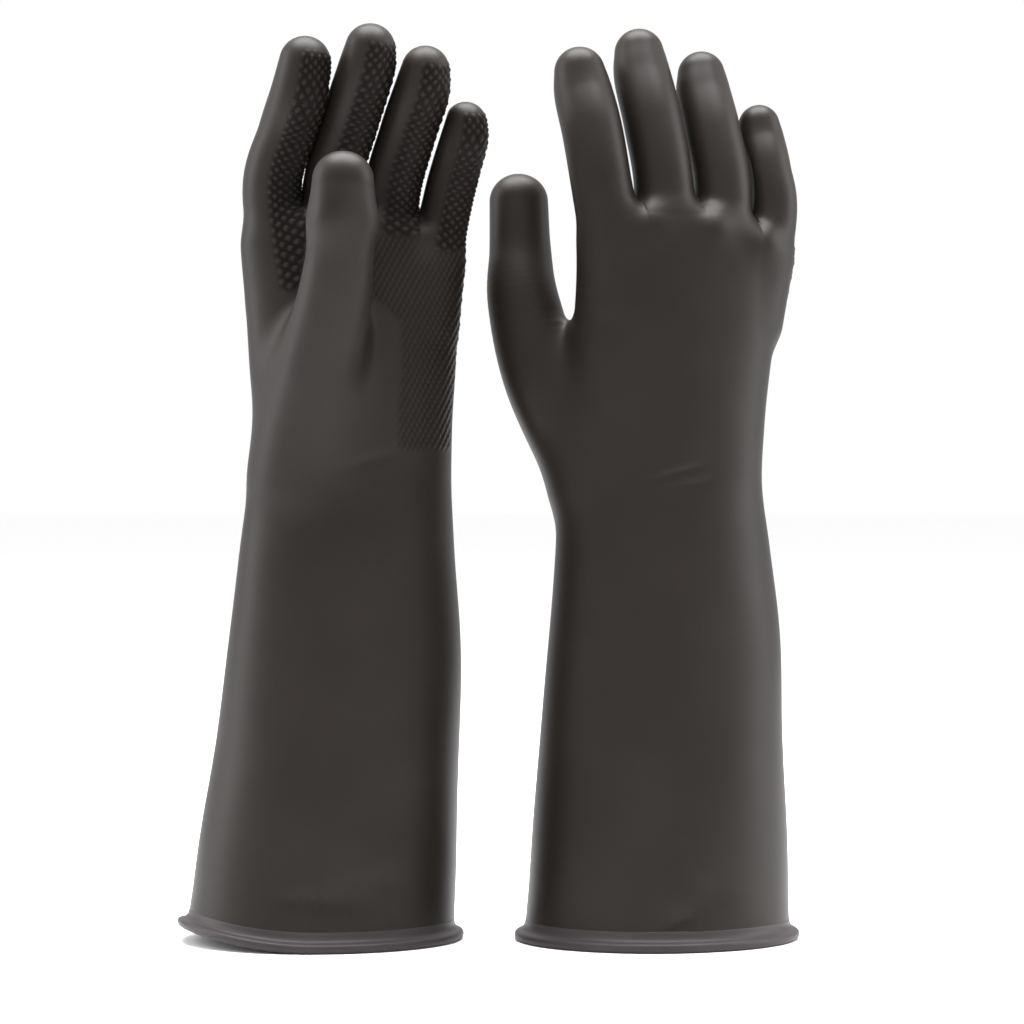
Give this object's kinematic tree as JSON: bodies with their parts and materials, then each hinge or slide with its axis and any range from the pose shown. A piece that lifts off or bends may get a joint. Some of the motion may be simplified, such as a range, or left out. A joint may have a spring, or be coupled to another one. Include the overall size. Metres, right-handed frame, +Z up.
{
  "type": "electrical insulating gloves",
  "caption": "Pair of long black rubber gauntlet gloves with flared, rolled cuffs, standing open end down, with flexing wrists, fingers and thumbs.",
  "frame": {"origin": "on the floor, at the bottom centre of the pair's bounding box, gloves standing on their cuff beads", "axes": "+Z up towards the fingertips; +X from the left-hand glove to the right-hand glove; -Y is the front, which the left glove's palm and the right glove's back face"},
  "size_m": [0.274, 0.1284, 0.4014],
  "materials": {
    "body_rubber": "satin",
    "bead_rubber": "satin"
  },
  "bodies": {
    "left_gauntlet": {"left_cuff_bead": "bead_rubber", "left_gauntlet": "body_rubber"},
    "right_gauntlet": {"right_cuff_bead": "bead_rubber", "right_gauntlet": "body_rubber"},
    "left_hand": {"left_wrist": "body_rubber", "left_palm": "body_rubber", "left_thumb_ball": "body_rubber"},
    "left_index_proximal": {"left_index_proximal": "body_rubber"},
    "left_index_middle": {"left_index_middle": "body_rubber"},
    "left_index_distal": {"left_index_distal": "body_rubber"},
    "left_middle_proximal": {"left_middle_proximal": "body_rubber"},
    "left_middle_middle": {"left_middle_middle": "body_rubber"},
    "left_middle_distal": {"left_middle_distal": "body_rubber"},
    "left_ring_proximal": {"left_ring_proximal": "body_rubber"},
    "left_ring_middle": {"left_ring_middle": "body_rubber"},
    "left_ring_distal": {"left_ring_distal": "body_rubber"},
    "left_little_proximal": {"left_little_proximal": "body_rubber"},
    "left_little_middle": {"left_little_middle": "body_rubber"},
    "left_little_distal": {"left_little_distal": "body_rubber"},
    "left_thumb_proximal": {"left_thumb_proximal": "body_rubber"},
    "left_thumb_distal": {"left_thumb_distal": "body_rubber"},
    "right_hand": {"right_wrist": "body_rubber", "right_palm": "body_rubber", "right_thumb_ball": "body_rubber"},
    "right_index_proximal": {"right_index_proximal": "body_rubber"},
    "right_index_middle": {"right_index_middle": "body_rubber"},
    "right_index_distal": {"right_index_distal": "body_rubber"},
    "right_middle_proximal": {"right_middle_proximal": "body_rubber"},
    "right_middle_middle": {"right_middle_middle": "body_rubber"},
    "right_middle_distal": {"right_middle_distal": "body_rubber"},
    "right_ring_proximal": {"right_ring_proximal": "body_rubber"},
    "right_ring_middle": {"right_ring_middle": "body_rubber"},
    "right_ring_distal": {"right_ring_distal": "body_rubber"},
    "right_little_proximal": {"right_little_proximal": "body_rubber"},
    "right_little_middle": {"right_little_middle": "body_rubber"},
    "right_little_distal": {"right_little_distal": "body_rubber"},
    "right_thumb_proximal": {"right_thumb_proximal": "body_rubber"},
    "right_thumb_distal": {"right_thumb_distal": "body_rubber"}
  },
  "joints": [
    {"name": "gloves_apart", "type": "slide", "parent": "left_gauntlet", "child": "right_gauntlet", "axis": [1, 0, 0], "range_m": [0, 0.3]},
    {"name": "left_wrist_bend", "type": "hinge", "parent": "left_gauntlet", "child": "left_hand", "pos_m": [-0.06091, 0.00775, 0.199], "axis": [0.9781, 0.2079, 0], "range_deg": [-10, 20], "stiffness_Nm_per_rad": 2},
    {"name": "left_index_base_bend", "type": "hinge", "parent": "left_hand", "child": "left_index_proximal", "pos_m": [-0.09325, -0.00069, 0.32659], "axis": [0.9777, 0.2078, 0.0303], "range_deg": [-10, 35], "stiffness_Nm_per_rad": 0.25},
    {"name": "left_index_mid_bend", "type": "hinge", "parent": "left_index_proximal", "child": "left_index_middle", "pos_m": [-0.08791, -0.00501, 0.3511], "axis": [0.9627, 0.2046, -0.1771], "range_deg": [-10, 50], "stiffness_Nm_per_rad": 0.15},
    {"name": "left_index_tip_bend", "type": "hinge", "parent": "left_index_middle", "child": "left_index_distal", "pos_m": [-0.08258, -0.01293, 0.3709], "axis": [0.9627, 0.2046, -0.1771], "range_deg": [-6, 30], "stiffness_Nm_per_rad": 0.08},
    {"name": "left_middle_base_bend", "type": "hinge", "parent": "left_hand", "child": "left_middle_proximal", "pos_m": [-0.06738, 0.0015, 0.32742], "axis": [0.977, 0.2077, -0.0479], "range_deg": [-10, 35], "stiffness_Nm_per_rad": 0.25},
    {"name": "left_middle_mid_bend", "type": "hinge", "parent": "left_middle_proximal", "child": "left_middle_middle", "pos_m": [-0.06101, -0.00447, 0.35556], "axis": [0.9627, 0.2046, -0.1771], "range_deg": [-10, 45], "stiffness_Nm_per_rad": 0.15},
    {"name": "left_middle_tip_bend", "type": "hinge", "parent": "left_middle_middle", "child": "left_middle_distal", "pos_m": [-0.05457, -0.01506, 0.37834], "axis": [0.9627, 0.2046, -0.1771], "range_deg": [-6, 27], "stiffness_Nm_per_rad": 0.08},
    {"name": "left_ring_base_bend", "type": "hinge", "parent": "left_hand", "child": "left_ring_proximal", "pos_m": [-0.04201, 0.00365, 0.3244], "axis": [0.972, 0.2066, -0.112], "range_deg": [-10, 30], "stiffness_Nm_per_rad": 0.25},
    {"name": "left_ring_mid_bend", "type": "hinge", "parent": "left_ring_proximal", "child": "left_ring_middle", "pos_m": [-0.03607, -0.00227, 0.35007], "axis": [0.9627, 0.2046, -0.1771], "range_deg": [-10, 40], "stiffness_Nm_per_rad": 0.15},
    {"name": "left_ring_tip_bend", "type": "hinge", "parent": "left_ring_middle", "child": "left_ring_distal", "pos_m": [-0.0302, -0.0122, 0.37049], "axis": [0.9627, 0.2046, -0.1771], "range_deg": [-6, 24], "stiffness_Nm_per_rad": 0.08},
    {"name": "left_little_base_bend", "type": "hinge", "parent": "left_hand", "child": "left_little_proximal", "pos_m": [-0.01871, 0.00562, 0.31656], "axis": [0.9649, 0.2051, -0.164], "range_deg": [-10, 35], "stiffness_Nm_per_rad": 0.25},
    {"name": "left_little_mid_bend", "type": "hinge", "parent": "left_little_proximal", "child": "left_little_middle", "pos_m": [-0.01495, 0.00208, 0.3362], "axis": [0.9674, 0.2056, -0.1478], "range_deg": [-10, 45], "stiffness_Nm_per_rad": 0.15},
    {"name": "left_little_tip_bend", "type": "hinge", "parent": "left_little_middle", "child": "left_little_distal", "pos_m": [-0.01136, -0.00401, 0.35128], "axis": [0.9674, 0.2056, -0.1478], "range_deg": [-6, 27], "stiffness_Nm_per_rad": 0.08},
    {"name": "left_thumb_base_bend", "type": "hinge", "parent": "left_hand", "child": "left_thumb_proximal", "pos_m": [-0.05954, -0.03446, 0.27994], "axis": [0.0485, 0.9254, 0.3759], "range_deg": [-10, 40], "stiffness_Nm_per_rad": 0.3},
    {"name": "left_thumb_tip_bend", "type": "hinge", "parent": "left_thumb_proximal", "child": "left_thumb_distal", "pos_m": [-0.05811, -0.04446, 0.30748], "axis": [0.0495, 0.9445, 0.3248], "range_deg": [-10, 40], "stiffness_Nm_per_rad": 0.3},
    {"name": "right_wrist_bend", "type": "hinge", "parent": "right_gauntlet", "child": "right_hand", "pos_m": [0.07587, 0.00792, 0.199], "axis": [-0.9781, -0.2079, 0], "range_deg": [-10, 20], "stiffness_Nm_per_rad": 2},
    {"name": "right_index_base_bend", "type": "hinge", "parent": "right_hand", "child": "right_index_proximal", "pos_m": [0.04862, 0.0037, 0.3266], "axis": [-0.967, -0.2055, -0.1503], "range_deg": [-10, 40], "stiffness_Nm_per_rad": 0.25},
    {"name": "right_index_mid_bend", "type": "hinge", "parent": "right_index_proximal", "child": "right_index_middle", "pos_m": [0.04453, 0.00828, 0.3513], "axis": [-0.9709, -0.2064, -0.1219], "range_deg": [-10, 50], "stiffness_Nm_per_rad": 0.15},
    {"name": "right_index_tip_bend", "type": "hinge", "parent": "right_index_middle", "child": "right_index_distal", "pos_m": [0.04029, 0.01643, 0.37127], "axis": [-0.9709, -0.2064, -0.1219], "range_deg": [-6, 30], "stiffness_Nm_per_rad": 0.08},
    {"name": "right_middle_base_bend", "type": "hinge", "parent": "right_hand", "child": "right_middle_proximal", "pos_m": [0.0758, 0.01278, 0.32743], "axis": [-0.9759, -0.2074, -0.0684], "range_deg": [-10, 40], "stiffness_Nm_per_rad": 0.25},
    {"name": "right_middle_mid_bend", "type": "hinge", "parent": "right_middle_proximal", "child": "right_middle_middle", "pos_m": [0.07141, 0.01917, 0.35585], "axis": [-0.9728, -0.2068, -0.1045], "range_deg": [-10, 50], "stiffness_Nm_per_rad": 0.15},
    {"name": "right_middle_tip_bend", "type": "hinge", "parent": "right_middle_middle", "child": "right_middle_distal", "pos_m": [0.06661, 0.03011, 0.37887], "axis": [-0.9728, -0.2068, -0.1045], "range_deg": [-6, 30], "stiffness_Nm_per_rad": 0.08},
    {"name": "right_ring_base_bend", "type": "hinge", "parent": "right_hand", "child": "right_ring_proximal", "pos_m": [0.1018, 0.02155, 0.32439], "axis": [-0.9781, -0.2079, 0.0136], "range_deg": [-10, 45], "stiffness_Nm_per_rad": 0.25},
    {"name": "right_ring_mid_bend", "type": "hinge", "parent": "right_ring_proximal", "child": "right_ring_middle", "pos_m": [0.09817, 0.02796, 0.35037], "axis": [-0.9744, -0.2071, -0.0872], "range_deg": [-10, 50], "stiffness_Nm_per_rad": 0.15},
    {"name": "right_ring_tip_bend", "type": "hinge", "parent": "right_ring_middle", "child": "right_ring_distal", "pos_m": [0.09413, 0.03828, 0.37104], "axis": [-0.9744, -0.2071, -0.0872], "range_deg": [-6, 30], "stiffness_Nm_per_rad": 0.08},
    {"name": "right_little_base_bend", "type": "hinge", "parent": "right_hand", "child": "right_little_proximal", "pos_m": [0.12404, 0.02926, 0.31656], "axis": [-0.9732, -0.2068, 0.1009], "range_deg": [-10, 50], "stiffness_Nm_per_rad": 0.25},
    {"name": "right_little_mid_bend", "type": "hinge", "parent": "right_little_proximal", "child": "right_little_middle", "pos_m": [0.12205, 0.03318, 0.33638], "axis": [-0.9763, -0.2075, -0.061], "range_deg": [-10, 55], "stiffness_Nm_per_rad": 0.15},
    {"name": "right_little_tip_bend", "type": "hinge", "parent": "right_little_middle", "child": "right_little_distal", "pos_m": [0.11974, 0.03954, 0.35159], "axis": [-0.9763, -0.2075, -0.061], "range_deg": [-6, 33], "stiffness_Nm_per_rad": 0.08},
    {"name": "right_thumb_base_bend", "type": "hinge", "parent": "right_hand", "child": "right_thumb_proximal", "pos_m": [0.02218, 0.02327, 0.27955], "axis": [-0.4347, 0.8531, -0.2886], "range_deg": [-10, 40], "stiffness_Nm_per_rad": 0.3},
    {"name": "right_thumb_tip_bend", "type": "hinge", "parent": "right_thumb_proximal", "child": "right_thumb_distal", "pos_m": [0.01955, 0.03039, 0.3035], "axis": [-0.4363, 0.8563, -0.2765], "range_deg": [-10, 40], "stiffness_Nm_per_rad": 0.3}
  ],
  "couplings": [
    {"joint": "left_index_tip_bend", "follows": "left_index_mid_bend", "ratio": 0.6},
    {"joint": "left_middle_tip_bend", "follows": "left_middle_mid_bend", "ratio": 0.6},
    {"joint": "left_ring_tip_bend", "follows": "left_ring_mid_bend", "ratio": 0.6},
    {"joint": "left_little_tip_bend", "follows": "left_little_mid_bend", "ratio": 0.6},
    {"joint": "right_index_tip_bend", "follows": "right_index_mid_bend", "ratio": 0.6},
    {"joint": "right_middle_tip_bend", "follows": "right_middle_mid_bend", "ratio": 0.6},
    {"joint": "right_ring_tip_bend", "follows": "right_ring_mid_bend", "ratio": 0.6},
    {"joint": "right_little_tip_bend", "follows": "right_little_mid_bend", "ratio": 0.6}
  ]
}
